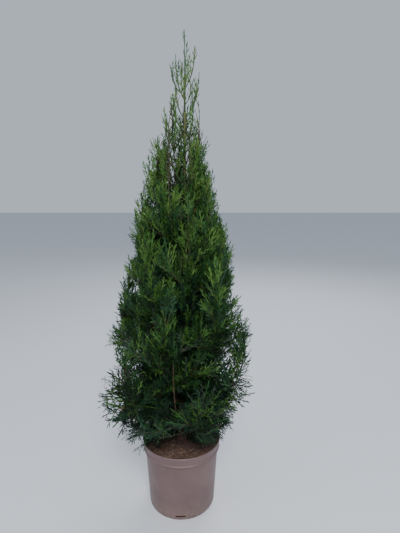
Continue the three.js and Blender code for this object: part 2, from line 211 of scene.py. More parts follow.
def colour_mix(tree, mask, first, second):
    """first and second are colours or colour sockets, mixed by a mask socket."""
    blend = tree.nodes.new("ShaderNodeMix")
    blend.data_type = "RGBA"
    return feed(tree, blend, {"Factor": mask, 6: first, 7: second}).outputs[2]


def bumped(tree, shader, height, strength, distance):
    """The height socket pressed into the surface as a bump."""
    given = {"Height": height, "Strength": strength, "Distance": distance}
    feed(tree, shader, {"Normal": outcome(tree, "Bump", "Normal", given)})


# The profile's runs: the radius and the height that each starts from, and its
# steps outwards and upwards from there.
POT_RUNS = [
    (0, 0, [(0, 0), (CENTRE_PAD_RADIUS, 0), (CENTRE_PAD_RADIUS + 0.004, FLOOR_LIFT)]),
    (FOOT_RADIUS, 0, [(-0.005, FLOOR_LIFT), (-0.004, 0), (-0.0022, 0), (-0.0008, 0.0007)]),
    (FOOT_RADIUS, 0, [(0, 0.003), (0.0007, 0.016)]),
    (WALL_TOP_RADIUS, COLLAR_FOOT, [(-0.0004, -0.008), (0, -0.001), (0.0006, 0), (0.0034, 0.0002)]),
    (WALL_TOP_RADIUS, COLLAR_FOOT, [(0.0046, 0.0012), (0.0049, 0.0026), (0.0044, 0.0042)]),
    (WALL_TOP_RADIUS, COLLAR_FOOT, [(0.0030, 0.0052), (0.0028, 0.0068)]),
    (RIM_RADIUS, POT_HEIGHT, [(-0.0006, -0.0050), (-0.0001, -0.0040), (0, -0.0018)]),
    (RIM_RADIUS, POT_HEIGHT, [(-0.0003, -0.0006), (-0.0011, 0), (-0.0019, -0.0005), (-0.0022, -0.0018)]),
    (WALL_TOP_RADIUS, COLLAR_FOOT, [(0.0012, 0.003), (-POT_WALL, 0)]),
    (FOOT_RADIUS, FLOOR_LIFT + POT_WALL, [(-POT_WALL, 0)]),
    (CENTRE_PAD_RADIUS, 0, [(0.003, FLOOR_LIFT + POT_WALL), (-0.001, POT_WALL)]),
    (0, 0, [(0, POT_WALL)]),
]
pot_profile = [(radius + out, height + up) for radius, height, steps in POT_RUNS for out, up in steps]
pot = turned_piece("pot_shell", pot_profile, POT_SEGMENTS)
slot_shape = bmesh.new()
for n in range(DRAIN_SLOTS):
    turned = Matrix.Rotation(-math.pi / 2 + n * math.tau / DRAIN_SLOTS, 4, "Z")
    moved = turned @ Matrix.Translation((FOOT_RADIUS, 0, DRAIN_SLOT_SILL + DRAIN_SLOT_SIZE[2] / 2))
    bmesh.ops.create_cube(slot_shape, size=1, matrix=moved @ Matrix.Diagonal((*DRAIN_SLOT_SIZE, 1)))
slot_cutters = piece_from_shape("drain_slot_cutters", slot_shape)
cut = pot.modifiers.new("drain_slots", "BOOLEAN")
cut.operation = "DIFFERENCE"
cut.solver = "EXACT"
cut.object = slot_cutters
bpy.context.view_layer.update()
cut_pot = bpy.data.meshes.new_from_object(pot.evaluated_get(bpy.context.evaluated_depsgraph_get()))
pot.modifiers.remove(cut)
pot.data = cut_pot
bpy.data.objects.remove(slot_cutters)
pot.data.shade_smooth()
pot.data.set_sharp_from_angle(angle=SHARP_EDGE)

pot_finish, tree, shader = new_finish("taupe_plastic", 0.5)
pot_mottle = placed_effect(tree, MOTTLE, {"Patch Size": 14, "Grain Size": 900})
pot_dust = placed_effect(tree, DUST, {"Level": 0.0, "Reach": 0.05, "Speckle Size": 90})
plain = colour_mix(tree, pot_mottle["Patches"], TAUPE, TAUPE_SHADE)
dusty = colour_mix(tree, ranged(tree, pot_dust["Mask"], 0.0, 0.55), plain, DRY_DUST)
satin = ranged(tree, pot_mottle["Patches"], 0.42, 0.56)
feed(tree, shader, {"Base Color": dusty, "Roughness": satin})
bumped(tree, shader, pot_mottle["Grain"], 0.12, 0.0004)
pot.data.materials.clear()
pot.data.materials.append(pot_finish)
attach(pot, "root")
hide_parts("pot")

# Compost: dark peat filled to a finger's width under the rim, uneven, with
# crumbs, reddish slivers of bark and pale bits of twig lying on top of it. It
# is one block that follows the inside of the pot.
SOIL_TOP = 0.171
SOIL_RADIUS = 0.0968
SOIL_SIDE_GAP = 0.0004
SOIL_RINGS = 46
SOIL_SEGMENTS = 150
SOIL_ROUGHNESS = 0.0042
SOIL_MOUND = 0.003
SOIL_SINK = 0.0025
CRUMBS = 620
CRUMB_SIZE = [(0.0007, 0.0036), (0.0007, 0.0032), (0.0005, 0.0022)]
BARK_SLIVERS = 330
SLIVER_SIZE = [(0.002, 0.0085), (0.0008, 0.0026), (0.0003, 0.0009)]
TWIGLETS = 46
TWIGLET_SIZE = [(0.005, 0.017), (0.0003, 0.0007), (0.0004, 0.0009)]
LITTER_BUMP = (0.6, 0.0012)
LITTER_GRAIN = 1500
PEAT = (0.037, 0.022, 0.017, 1)
PEAT_CRUMB = (0.150, 0.090, 0.068, 1)
BARK_LITTER = (0.230, 0.082, 0.036, 1)
BARK_LITTER_DARK = (0.075, 0.032, 0.018, 1)
DRY_TWIG = (0.36, 0.27, 0.19, 1)
DRY_TWIG_DARK = (0.19, 0.125, 0.08, 1)


def chance(i, k):
    """The plant's seeded number from 0 to 1 for item i and question k."""
    value = math.sin(i * 12.9898 + k * 78.233 + 4.1) * 43758.5453
    return value - math.floor(value)


def mix(first, second, share):
    """first at share 0 and second at share 1."""
    return first + (second - first) * share


def drawn(low, high, i, k):
    """The seeded number for item i and question k, from low to high."""
    return mix(low, high, chance(i, k))


def piece_from_arrays(name, points, faces):
    """A piece from a list of points and faces that all have as many corners."""
    corners = np.ascontiguousarray(faces, dtype=np.int32)
    mesh = bpy.data.meshes.new(name)
    mesh.vertices.add(len(points))
    mesh.vertices.foreach_set("co", np.ascontiguousarray(points, dtype=np.float32).ravel())
    mesh.loops.add(corners.size)
    mesh.loops.foreach_set("vertex_index", corners.ravel())
    mesh.polygons.add(len(corners))
    starts = np.arange(0, corners.size, corners.shape[1], dtype=np.int32)
    mesh.polygons.foreach_set("loop_start", starts)
    mesh.update(calc_edges=True)
    return new_piece(name, mesh)


def soil_height(x, y):
    """The lie of the compost: mounded to the trunk, sunk and rough by the wall."""
    spot = Vector((x, y, 0))
    away = spot.length / SOIL_RADIUS
    lumps = noise.fractal(spot * 90, 0.7, 2.2, 4) * SOIL_ROUGHNESS * 0.5
    swell = noise.noise(spot * 22 + Vector((3, 7, 1))) * SOIL_ROUGHNESS
    return SOIL_TOP + SOIL_MOUND * (1 - away) - SOIL_SINK * away**4 + lumps + swell


soil_points = [(0, 0, soil_height(0, 0))]
for ring in range(1, SOIL_RINGS + 1):
    around = round_points((SOIL_RADIUS - SOIL_SIDE_GAP) * (ring / SOIL_RINGS), SOIL_SEGMENTS)
    soil_points.extend([(x, y, soil_height(x, y)) for x, y in around])
soil_floor = FLOOR_LIFT + POT_WALL + SOIL_SIDE_GAP
soil_wall = [
    (WALL_TOP_RADIUS + 0.0006, COLLAR_FOOT + 0.0034),
    (WALL_TOP_RADIUS - POT_WALL - SOIL_SIDE_GAP, COLLAR_FOOT),
    (FOOT_RADIUS - POT_WALL - SOIL_SIDE_GAP, soil_floor),
    (CENTRE_PAD_RADIUS + 0.002, soil_floor),
    (CENTRE_PAD_RADIUS - 0.002, POT_WALL + SOIL_SIDE_GAP),
]
for radius, height in soil_wall:
    soil_points.extend([(x, y, height) for x, y in round_points(radius, SOIL_SEGMENTS)])
soil_points.append((0, 0, POT_WALL + SOIL_SIDE_GAP))
soil_faces = []
for n in range(SOIL_SEGMENTS):
    m = (n + 1) % SOIL_SEGMENTS
    soil_faces.append((0, 1 + n, 1 + m))
    for ring in range(SOIL_RINGS + len(soil_wall) - 1):
        near = 1 + ring * SOIL_SEGMENTS
        far = near + SOIL_SEGMENTS
        soil_faces.append((near + n, far + n, far + m))
        soil_faces.append((near + n, far + m, near + m))
    last = 1 + (SOIL_RINGS + len(soil_wall) - 1) * SOIL_SEGMENTS
    soil_faces.append((last + n, len(soil_points) - 1, last + m))
soil = piece_from_arrays("compost", soil_points, soil_faces)
soil.data.shade_smooth()


def two_tone_finish(name, roughness, tones, patch, grain, bump):
    """A dull natural surface that changes softly from tone to tone, with a fine grain."""
    material, tree, shader = new_finish(name, roughness)
    mottle = placed_effect(tree, MOTTLE, {"Patch Size": patch, "Grain Size": grain})
    feed(tree, shader, {"Base Color": colour_mix(tree, mottle["Patches"], *tones)})
    bumped(tree, shader, mottle["Grain"], *bump)
    return material


def scattered(pieces, base_points, base_faces, sizes, seed, reach):
    """Many like bits lying on the compost, each turned and sized by the seeded rule."""
    points = []
    faces = []
    shape = np.array(base_points)
    for n in range(pieces):
        radius = reach * math.sqrt(chance(n, seed))
        turn = math.tau * chance(n, seed + 1)
        x = radius * math.cos(turn)
        y = radius * math.sin(turn)
        size = Vector([mix(*span, chance(n, seed + 2 + k) ** 2) for k, span in enumerate(sizes)])
        lie = Matrix.Rotation(math.tau * chance(n, seed + 6), 3, "Z")
        tip = Matrix.Rotation(drawn(-0.5, 0.5, n, seed + 7), 3, "X")
        roll = Matrix.Rotation(drawn(-0.5, 0.5, n, seed + 8), 3, "Y")
        turned = np.array(lie @ tip @ roll)
        start = len(points) * len(shape)
        place = np.array((x, y, soil_height(x, y) + size.z * 0.25))
        points.append((shape * np.array(size)) @ turned.T + place)
        faces.append(np.array(base_faces) + start)
    return np.concatenate(points), np.concatenate(faces)


GOLD = (1 + math.sqrt(5)) / 2
pairs = [(short, long) for long in (GOLD, -GOLD) for short in (-1, 1)]
LUMP_POINTS = [(x, y, 0) for x, y in pairs] + [(0, y, z) for y, z in pairs] + [(x, 0, z) for z, x in pairs]
LUMP_FACES = [
    (0, 11, 5), (0, 5, 1), (0, 1, 7), (0, 7, 10), (0, 10, 11),
    (1, 5, 9), (5, 11, 4), (11, 10, 2), (10, 7, 6), (7, 1, 8),
    (3, 9, 4), (3, 4, 2), (3, 2, 6), (3, 6, 8), (3, 8, 9),
    (4, 9, 5), (2, 4, 11), (6, 2, 10), (8, 6, 7), (9, 8, 1),
]
lump_shape = np.array(LUMP_POINTS) / math.hypot(1, GOLD)
lump_shape = lump_shape * np.array([[drawn(0.72, 1.1, n, 71)] for n in range(12)])
lumps = scattered(CRUMBS, lump_shape, LUMP_FACES, CRUMB_SIZE, 200, 0.0945)
crumbs = piece_from_arrays("compost_crumbs", *lumps)

SLIVER_POINTS = [
    (-1.0, 0.1, 0), (-0.3, 0.9, 0.5), (0.6, 0.7, 0.3), (1.0, -0.1, 0),
    (0.4, -0.9, 0.4), (-0.5, -0.8, 0.2), (0, 0, 1.0), (0, 0, -0.5),
]
SLIVER_FACES = [(6, (n + 1) % 6, n) for n in range(6)] + [(n, (n + 1) % 6, 7) for n in range(6)]
chips = scattered(BARK_SLIVERS, SLIVER_POINTS, SLIVER_FACES, SLIVER_SIZE, 230, 0.0935)
slivers = piece_from_arrays("bark_litter", *chips)

TWIGLET_POINTS = []
for end, height, thick in ((-1.0, 0.0, 0.55), (-0.35, 0.9, 1.0), (0.3, 1.1, 1.0), (1.0, 0.2, 0.55)):
    TWIGLET_POINTS.extend([(end, y, height + z) for y, z in round_points(thick, 4)])
TWIGLET_FACES = [(0, 1, 2), (0, 2, 3), (12, 14, 13), (12, 15, 14)]
for ring in (0, 4, 8):
    for n in range(4):
        m = (n + 1) % 4
        TWIGLET_FACES.append((ring + n, ring + 4 + n, ring + 4 + m))
        TWIGLET_FACES.append((ring + n, ring + 4 + m, ring + m))
bits = scattered(TWIGLETS, TWIGLET_POINTS, TWIGLET_FACES, TWIGLET_SIZE, 260, 0.088)
twiglets = piece_from_arrays("dry_twiglets", *bits)

litter_finishes = [
    (soil, "peat", 0.95, (PEAT, PEAT_CRUMB), 260),
    (crumbs, "peat_crumb", 0.95, (PEAT, PEAT_CRUMB), 60),
    (slivers, "bark_chip", 0.85, (BARK_LITTER_DARK, BARK_LITTER), 45),
    (twiglets, "dry_twig", 0.8, (DRY_TWIG_DARK, DRY_TWIG), 50),
]
for part, name, roughness, tones, patch in litter_finishes:
    part.data.materials.append(two_tone_finish(name, roughness, tones, patch, LITTER_GRAIN, LITTER_BUMP))
for part in (soil, crumbs, slivers, twiglets):
    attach(part, "root")
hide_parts("soil")

# Trunk: one slender stem with fibrous, shallowly furrowed bark, flared where
# it enters the compost and leaning a little, brown below and green towards the
# leader. The boughs are tapering limbs grown from it.
PLANT_TOP = 1.156
TRUNK_TOP = 1.062
TRUNK_LEAN = 0.014
TRUNK_RADII = (0.009, 0.0016)
ROOT_FLARE = 0.007
ROOT_FLARE_HEIGHT = 0.022
TRUNK_SINK = 0.004
TRUNK_RINGS = 240
TRUNK_SIDES = 48
BARK_BROWN = (0.115, 0.062, 0.038, 1)
BARK_FURROW = (0.042, 0.023, 0.015, 1)
YOUNG_STEM = (0.085, 0.098, 0.030, 1)
GREENING = (0.78, 0.98)

# Outline of the crown by height and side, and the plumes that fill it, of
# which the lowest stand on boughs.
CROWN_FOOT = 0.172
CROWN_SLOPE_RADIUS = 0.240
FOOT_TUCK = 0.46
FOOT_TUCK_HEIGHT = 0.220
LOW_LEFT_SWELL = 0.13
LOW_RIGHT_TUCK = 0.24
LOW_SIDE_HEIGHT = 0.260
WAIST = 0.11
WAIST_HEIGHT = 0.400
WAIST_SPAN = 0.024
TOP_SPREAD = 0.036
TOP_ROUNDING = 0.045
LEAN_FROM = 0.880
LEAN_TO = 1.050
GOLDEN_ANGLE = 137.508
PLUMES = 28
PLUME_STARTS = (0.190, 0.830)
PLUME_CROWDING = 1.15
PLUME_TURN = 20
PLUME_RISE = (0.090, 0.225)
FULL_RISE_SHARE = 0.3
PLUME_REACH = (0.86, 0.96)
PLUME_BOW = 0.3
TOP_RISE_SHARE = 0.58
BOUGHS = 15
BOUGH_SHARE = 0.25
BOUGH_RADIUS = (0.004, 0.0026)
BOUGH_TAPER = 0.62
BOUGH_COLLAR = 0.35
BOUGH_SIDES = 16
BOUGH_RINGS = 26


def clamp(value):
    """The value held between 0 and 1."""
    return min(1.0, max(0.0, value))


def ramp(value, start, over):
    """0 up to start and 1 from over beyond it. A negative over runs downwards."""
    return clamp((value - start) / over)


def eased(value, start, over):
    """A ramp that is rounded off at both ends."""
    share = ramp(value, start, over)
    return share * share * (3 - 2 * share)


def trunk_axis(z):
    """The middle of the trunk at height z."""
    share = ramp(z, SOIL_TOP, PLANT_TOP - SOIL_TOP)
    x = TRUNK_LEAN * math.sin(share * math.pi / 2)
    y = -0.4 * TRUNK_LEAN * math.sin(1.5 * math.pi * share)
    return Vector((x, y, z))


def trunk_radius(z):
    """The trunk's taper with its root flare."""
    share = ramp(z, SOIL_TOP, TRUNK_TOP - SOIL_TOP)
    flare = ROOT_FLARE * math.exp(-max(z - SOIL_TOP, 0) / ROOT_FLARE_HEIGHT)
    return mix(*TRUNK_RADII, share**0.85) + flare


def crown_axis(z):
    """The middle of the crown, upright until the leader leans with the trunk."""
    middle = trunk_axis(z)
    middle.x *= eased(z, LEAN_FROM, LEAN_TO - LEAN_FROM)
    return middle


def crown_radius(z, azimuth):
    """How far the foliage reaches from the crown's middle."""
    share = ramp(z, CROWN_FOOT, PLANT_TOP - CROWN_FOOT)
    tuck = mix(FOOT_TUCK, 1, math.sin(ramp(z, CROWN_FOOT, FOOT_TUCK_HEIGHT) * math.pi / 2))
    aside = math.cos(azimuth) * (LOW_LEFT_SWELL if math.cos(azimuth) < 0 else LOW_RIGHT_TUCK)
    waist = WAIST * math.exp(-(((z - WAIST_HEIGHT) / WAIST_SPAN) ** 2))
    swell = 1 - aside * (1 - ramp(z, CROWN_FOOT, LOW_SIDE_HEIGHT)) - waist
    top = TOP_SPREAD * math.sqrt(ramp(z, PLANT_TOP, -TOP_ROUNDING))
    return max(CROWN_SLOPE_RADIUS * (1 - share) * tuck * swell, top)


def limb_way(start, azimuth, reach, tip_height, bow):
    """A limb's line: its three guiding points, and the level line that it grows out along."""
    out = Vector((math.cos(azimuth), math.sin(azimuth), 0))
    bend = mix(start, tip_height, bow)
    shoulder = crown_axis(bend) + out * reach * crown_radius(mix(bend, tip_height, 0.35), azimuth)
    tip = crown_axis(tip_height) + out * reach * crown_radius(tip_height, azimuth)
    return trunk_axis(start), shoulder, tip, out


def plume_way(i):
    """The line of outer plume i, lowest first, by the golden angle."""
    share = i / (PLUMES - 1)
    start = mix(*PLUME_STARTS, share**PLUME_CROWDING)
    turn = PLUME_TURN + i * GOLDEN_ANGLE + drawn(-9, 9, i, 1)
    rise = mix(*PLUME_RISE, min(1, share / FULL_RISE_SHARE)) * drawn(0.9, 1.1, i, 2)
    tip_height = start + min(rise, (PLANT_TOP - start) * TOP_RISE_SHARE)
    return limb_way(start, math.radians(turn), drawn(*PLUME_REACH, i, 3), tip_height, PLUME_BOW)


def on_way(way, t):
    """The point at share t of a limb's line."""
    return way[0] * (1 - t) ** 2 + way[1] * 2 * t * (1 - t) + way[2] * t * t


def side_lines(along):
    """Two lines square to a direction and to each other."""
    helper = Vector((0, 0, 1)) if abs(along.z) < 0.9 else Vector((1, 0, 0))
    first = along.cross(helper).normalized()
    return first, along.cross(first).normalized()


def tube(line, radii, sides, relief):
    """A closed round limb along a line of points. relief gives each corner's bulge."""
    points = []
    faces = []
    first = None
    for n, spot in enumerate(line):
        along = (line[min(n + 1, len(line) - 1)] - line[max(n - 1, 0)]).normalized()
        if first is None:
            first, second = side_lines(along)
        else:
            first = (first - along * first.dot(along)).normalized()
            second = along.cross(first)
        for k in range(sides):
            turn = k * math.tau / sides
            bulge = 1 + relief(turn, spot) if relief else 1
            points.append(spot + (first * math.cos(turn) + second * math.sin(turn)) * radii[n] * bulge)
    for n in range(len(line) - 1):
        low = n * sides
        for k in range(sides):
            m = (k + 1) % sides
            faces.append((low + k, low + m, low + sides + m))
            faces.append((low + k, low + sides + m, low + sides + k))
    points.append(line[0])
    points.append(line[-1] + (line[-1] - line[-2]).normalized() * radii[-1])
    for k in range(sides):
        m = (k + 1) % sides
        faces.append((len(points) - 2, m, k))
        faces.append((len(points) - 1, (len(line) - 1) * sides + k, (len(line) - 1) * sides + m))
    return points, faces


def joined(parts):
    """Several (points, faces) shapes as one."""
    points = []
    faces = []
    for part_points, part_faces in parts:
        start = len(points)
        points.extend(part_points)
        faces.extend([(a + start, b + start, c + start) for a, b, c in part_faces])
    return points, faces


def bark_relief(depth, pitch):
    """Long fibrous ridges that run along the limb and wander round it."""

    def relief(turn, spot):
        around = Vector((math.cos(turn) * pitch, math.sin(turn) * pitch, spot.z * 14))
        strips = noise.noise(around) + 0.6 * noise.noise(around * 2.3 + Vector((5, 1, 9)))
        knots = 0.5 * noise.noise(Vector((math.cos(turn) * 1.3, math.sin(turn) * 1.3, spot.z * 55)))
        return depth * (abs(strips) * 1.6 - 0.5 + knots)

    return relief


ring_shares = [(n / TRUNK_RINGS) ** 1.15 for n in range(TRUNK_RINGS + 1)]
ring_heights = [mix(SOIL_TOP - TRUNK_SINK, TRUNK_TOP, share) for share in ring_shares]
trunk_line = [trunk_axis(z) for z in ring_heights]
trunk_radii = [trunk_radius(z) for z in ring_heights]
trunk_shape = tube(trunk_line, trunk_radii, TRUNK_SIDES, bark_relief(0.16, 2.6))
trunk = piece_from_arrays("trunk_bark", *trunk_shape)
trunk.data.shade_smooth()
bough_parts = []
bough_shares = [n / BOUGH_RINGS for n in range(BOUGH_RINGS + 1)]
for i in range(BOUGHS):
    way = plume_way(i)
    radius = mix(*BOUGH_RADIUS, i / (BOUGHS - 1))
    line = [on_way(way, BOUGH_SHARE * share) for share in bough_shares]
    swells = [mix(1, BOUGH_TAPER, share) + BOUGH_COLLAR * math.exp(-share * 7) for share in bough_shares]
    radii = [radius * swell for swell in swells]
    bough_parts.append(tube(line, radii, BOUGH_SIDES, bark_relief(0.14, 2.2)))
boughs = piece_from_arrays("bough_bark", *joined(bough_parts))
boughs.data.shade_smooth()

bark_finish, tree, shader = new_finish("fibrous_bark", 0.85)
bark_mottle = placed_effect(tree, MOTTLE, {"Patch Size": 220, "Grain Size": 900, "Stretch": 0.12})
bark_dust = placed_effect(tree, DUST, {"Level": SOIL_TOP, "Reach": 0.05, "Speckle Size": 160})
old_bark = colour_mix(tree, bark_mottle["Patches"], BARK_FURROW, BARK_BROWN)
height = outcome(tree, "SeparateXYZ", "Z", {"Vector": outcome(tree, "TexCoord", "Object", {})})
aged = colour_mix(tree, stretched(tree, height, *GREENING), old_bark, YOUNG_STEM)
splashed = colour_mix(tree, ranged(tree, bark_dust["Mask"], 0, 0.6), aged, PEAT_CRUMB)
feed(tree, shader, {"Base Color": splashed})
bumped(tree, shader, bark_mottle["Grain"], 0.5, 0.0008)
for part in (trunk, boughs):
    part.data.materials.append(bark_finish)
    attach(part, "root")
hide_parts("trunk")
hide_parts(*[f"bough_{i + 1:02d}" for i in range(BOUGHS)])

# Bare front stem: one thin stem with reddish young bark, grown from the
# trunk's foot up the front. It is the only wood that shows low in the crown,
# where its middle length carries no foliage.
BARE_STEM_RADII = (0.0026, 0.0008)
BARE_STEM_STEPS = 40
BARE_STEM_SIDES = 10
BARE_STEM_RED = (0.125, 0.056, 0.040, 1)
TWIG_WOOD = (0.036, 0.023, 0.014, 1)
THIN_BARK_BUMP = (0.3, 0.0005)


def stem_tube(way, radii, steps, sides, taper, relief):
    """A limb along its whole line, from the first radius to the second."""
    shares = [n / steps for n in range(steps + 1)]
    line = [on_way(way, share) for share in shares]
    return tube(line, [mix(*radii, share**taper) for share in shares], sides, relief)


def thin_wood(name, shape, *finish):
    """A smooth piece of thin stems, in two tones of young bark."""
    piece = piece_from_arrays(name, *shape)
    piece.data.shade_smooth()
    piece.data.materials.append(two_tone_finish(*finish, THIN_BARK_BUMP))
    return piece


bare_way = limb_way(start=0.225, azimuth=math.radians(-94), reach=0.80, tip_height=0.450, bow=0.36)
bare_relief = bark_relief(0.12, 2.0)
bare_shape = stem_tube(bare_way, BARE_STEM_RADII, BARE_STEM_STEPS, BARE_STEM_SIDES, 1, bare_relief)
bare_tones = (BARE_STEM_RED, TWIG_WOOD)
bare_stem = thin_wood("bare_front_stem", bare_shape, "young_red_bark", 0.65, bare_tones, 180, 1100)
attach(bare_stem, "root")

# Stems and twigs: the thin wood that grows on from the boughs and the trunk,
# one curved stem to a plume with twigs set round it by the golden angle. A
# twig carries its sprays in one flat fan. The shoots of the open top are green.
STEM_RADIUS = 0.0025
STEM_TIP_RADIUS = 0.0007
STEM_STEPS = 16
STEM_SIDES = 6
STEM_TAPER = 0.8
INNERS = 9
INNER_STARTS = (0.195, 0.725)
INNER_CROWDING = 1.6
INNER_TURN = 199
INNER_RISE = 0.200
INNER_REACH = 0.48
SKIRT_INNERS = 3
SKIRT_RISE = 0.060
SKIRT_REACH = 0.85
SHOOTS = 4
SHOOT_STARTS = (0.885, 1.010)
SHOOT_TURN = 80
SHOOT_RISE = 0.100
SIDE_STEMS = 3
SIDE_STEM_SPAN = (0.14, 0.68)
SIDE_STEM_LENGTH = (0.62, 0.46)
TWIG_RADII = (0.0011, 0.0005)
TWIG_STEPS = 5
TWIG_PITCH = 0.0112
INNER_TWIG_PITCH = 0.0110
TWIG_LENGTH = (0.078, 0.056)
SPRAY_PITCH = 0.0072
SPRAY_LENGTH = (0.051, 0.046)
SPRAY_FITS = (1, 0.86, 0.72, 0.6, 0.5)
SPRAY_RISE = (-0.05, 1.10)
SPRAY_SAG = (-0.16, 0.10)
SPREADING_SHARE = 0.7
SPREADING_RISE = 0.15
WHIP_RADIUS = 0.0011
SHOOT_WHIP_RADIUS = 0.0014
WHIP_TIP_RADIUS = 0.0008
WHIP_STEPS = 12
WHIP_HEIGHT = (0.790, 0.965)
WHIP_SPRAY_LENGTH = (0.050, 0.034)
TOP_WHIPS = 12
TOP_WHIP_STARTS = (0.895, 1.070)
TOP_WHIP_RISE = (0.045, 0.095)
TOP_WHIP_TIPS = (1.070, 1.140)
TWIG_GREEN = (0.046, 0.062, 0.018, 1)
STEM_GREEN = (0.040, 0.075, 0.022, 1)
STEM_GREEN_DARK = (0.022, 0.040, 0.016, 1)
UP = Vector((0, 0, 1))

# Twigs straight from the trunk, in the heart, the shoulder, the foot and the
# upper crown: key, number, lowest and highest start, crowding and reach.
TRUNK_TWIGS = [
    (61, 170, 0.300, 0.960, 1.1, 0.110),
    (63, 150, 0.250, 0.640, 1.0, 0.150),
    (62, 190, 0.188, 0.420, 1.2, 0.105),
    (64, 70, 0.430, 0.860, 1.0, 0.130),
]

# Edge of the crown: how far a spray may stand past the outline and past the
# solids' box, the lowest foliage by its distance from the pot's middle, and
# the lobes, the furrow up the front and the gaps of sky beside the stem.
SPARE = 0.009
WHIP_SPARE = 0.016
PROUD_TOP = 0.0005
PROUD_SIDE = 0.014
PROUD_DEPTH = 0.007
FRINGE_FLOOR = 0.166
FRINGE_RADIUS = 0.105
RIM_FLOOR = 0.187
RIM_INSIDE_RADIUS = 0.086
POT_MIDDLE_FLOOR = 0.175
FRONT_LIFT = 0.128
FRONT_LIFT_RADIUS = 0.16
UPRIGHT_RISE = (0.24, 0.34)
EDGE_SHARE = 0.80
OUTLINE_BAYS = 0.022
FULL_BAYS_RADIUS = 0.13
FURROW_TURN = math.radians(-85)
FURROW_HALF = 0.26
FURROW_DEPTH = 0.038
FURROW_FOOT = (0.44, 0.08)
FURROW_TOP = (0.95, -0.06)
SKY_GAP_HEIGHT = (0.800, 0.925)
SKY_GAP_SIDE = (0.0105, 0.0205)
THINNING_HEIGHT = 0.770
THINNING = (1.7, 2.4)
OPEN_HEIGHT = 0.400
OPEN_RIGHT = 0.050
OPEN_LEFT = 0.085
OPEN_FADE = 0.05
CLOSE_TOP = (0.90, 0.08)

# Bare length of the front stem, as it is seen past the foliage before it: its
# place, its heights, the clear width at either side of it and the line of sight.
BARE_PLACE_SIDE = -0.010
BARE_PLACE_DEPTH = -0.132
BARE_HEIGHT = (0.318, 0.392)
BARE_WIDE_TOP = 0.360
BARE_WIDE = 0.007
BARE_SLIM = 0.003
SIGHT_DROP = 0.55
SIGHT_ASIDE = 0.07

sprays = []
twig_parts = []
green_parts = []


def inner_way(i):
    """The line of inner plume i, which fills the crown behind the outer ones."""
    start = mix(*INNER_STARTS, (i / (INNERS - 1)) ** INNER_CROWDING)
    skirt = max(0, 1 - i / SKIRT_INNERS)
    tip_height = start + mix(INNER_RISE, SKIRT_RISE, skirt)
    turn = math.radians(INNER_TURN + i * GOLDEN_ANGLE)
    return limb_way(start, turn, mix(INNER_REACH, SKIRT_REACH, skirt), tip_height, PLUME_BOW)


def shoot_way(i):
    """The line of top shoot i."""
    start = mix(*SHOOT_STARTS, i / (SHOOTS - 1))
    tip_height = start + SHOOT_RISE * drawn(0.9, 1.1, i, 4)
    return limb_way(start, math.radians(SHOOT_TURN + i * GOLDEN_ANGLE), 0.9, tip_height, 0.35)


def leader_way():
    """The line of the leader, straight on from the trunk's tip."""
    foot = trunk_axis(TRUNK_TOP)
    tip = trunk_axis(PLANT_TOP)
    return foot, (foot + tip) / 2, tip, Vector((1, 0, 0))


def foliage_floor(radius, azimuth):
    """The lowest height of foliage: over the rim, and lifted off the soil in front."""
    base = POT_MIDDLE_FLOOR
    if radius > RIM_INSIDE_RADIUS:
        base = FRINGE_FLOOR if radius > FRINGE_RADIUS else RIM_FLOOR
    front = max(0, -math.sin(azimuth)) ** 8
    return base + FRONT_LIFT * front * clamp(0.15 + radius / FRONT_LIFT_RADIUS)


def from_middle(point):
    """A point's distance from the crown's middle line, and its azimuth round it."""
    middle = crown_axis(point.z)
    x = point.x - middle.x
    y = point.y - middle.y
    return math.hypot(x, y), math.atan2(y, x)


def crown_depth(point):
    """A point's place in the crown, from 0 at the middle line to 1 at the outline."""
    distance, azimuth = from_middle(point)
    return distance / max(crown_radius(point.z, azimuth), 0.02)


def bays(point):
    """How far the crown's ragged outline falls back at a point, in lobes and notches."""
    lobes = noise.noise(point * 17) + 0.7 * noise.noise(point * 46 + Vector((4, 8, 2)))
    aside = abs(from_middle(point)[1] - FURROW_TURN) / FURROW_HALF
    furrow = clamp(1 - aside) * ramp(point.z, *FURROW_FOOT) * ramp(point.z, *FURROW_TOP)
    depth = OUTLINE_BAYS * clamp(0.35 - lobes) + FURROW_DEPTH * furrow
    return depth * clamp(crown_radius(point.z, 0) / FULL_BAYS_RADIUS)


def in_sky_gap(point):
    """True in the two gaps of sky that part the top boughs from the stem."""
    aside = abs(point.x - crown_axis(point.z).x)
    return SKY_GAP_HEIGHT[0] < point.z < SKY_GAP_HEIGHT[1] and SKY_GAP_SIDE[0] < aside < SKY_GAP_SIDE[1]


def hides_stem(point):
    """True where foliage would stand before the bare length of the front stem."""
    ahead = BARE_PLACE_DEPTH - point.y
    level = point.z - SIGHT_DROP * ahead
    aside = abs(point.x - SIGHT_ASIDE * ahead - BARE_PLACE_SIDE)
    room = BARE_WIDE if level < BARE_WIDE_TOP else BARE_SLIM
    return 0 < ahead and aside < room and BARE_HEIGHT[0] < level < BARE_HEIGHT[1]


def in_crown(point, spare):
    """True where a point keeps to the crown's outline, near the solids' box and clear of the pot."""
    if point.z > PLANT_TOP - PROUD_TOP or hides_stem(point) or in_sky_gap(point):
        return False
    if not cad_low[0] - PROUD_SIDE < point.x < cad_high[0] + PROUD_SIDE:
        return False
    if not cad_low[1] - PROUD_DEPTH < point.y < cad_high[1] + PROUD_DEPTH:
        return False
    distance, azimuth = from_middle(point)
    if distance > crown_radius(point.z, azimuth) + spare:
        return False
    return point.z > foliage_floor(math.hypot(point.x, point.y), math.atan2(point.y, point.x))


def height_share(z):
    """0 in the spreading foot of the crown and 1 in its upright upper part."""
    return eased(z, *UPRIGHT_RISE)


